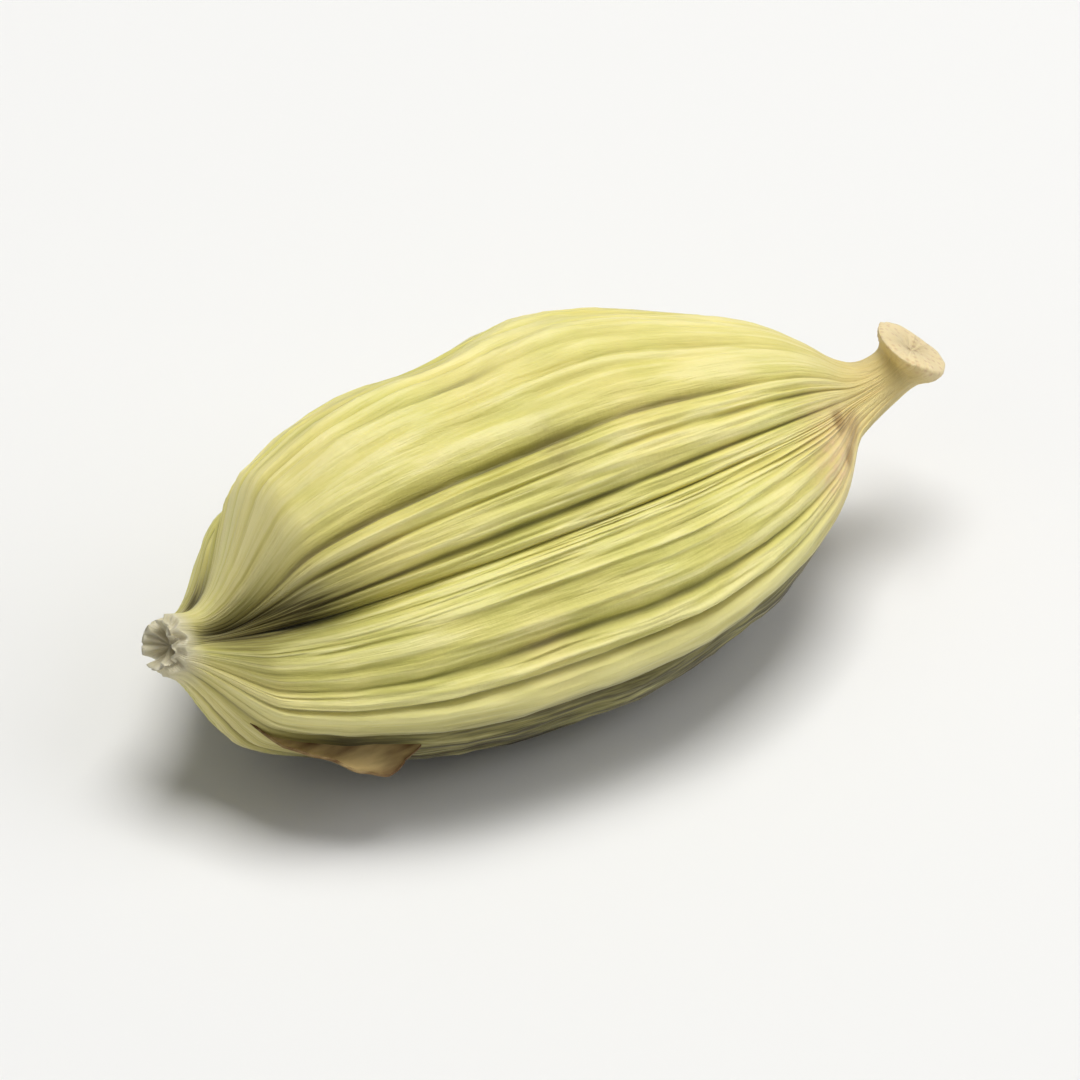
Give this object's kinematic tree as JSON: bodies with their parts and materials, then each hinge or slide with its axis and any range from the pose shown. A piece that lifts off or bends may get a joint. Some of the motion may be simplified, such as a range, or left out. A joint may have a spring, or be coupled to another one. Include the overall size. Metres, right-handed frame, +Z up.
{
  "type": "green cardamom pod",
  "caption": "Dried green cardamom pod lying on its side: a three-lobed, ribbed husk with a bent stalk stub at one end and a withered flower collar at the other.",
  "frame": {"origin": "on the resting plane, under the middle of the pod's bounding box", "axes": "+X along the pod from the flower end to the stalk, +Z up from the surface it lies on, the furrow seen in the picture faces -Y and up"},
  "size_m": [0.0164, 0.0076, 0.0067],
  "materials": {
    "husk": "dried fibrous husk, pale olive green, matte with a faint sheen on the ribs"
  },
  "bodies": {
    "root": {"pod": "husk"}
  },
  "joints": []
}
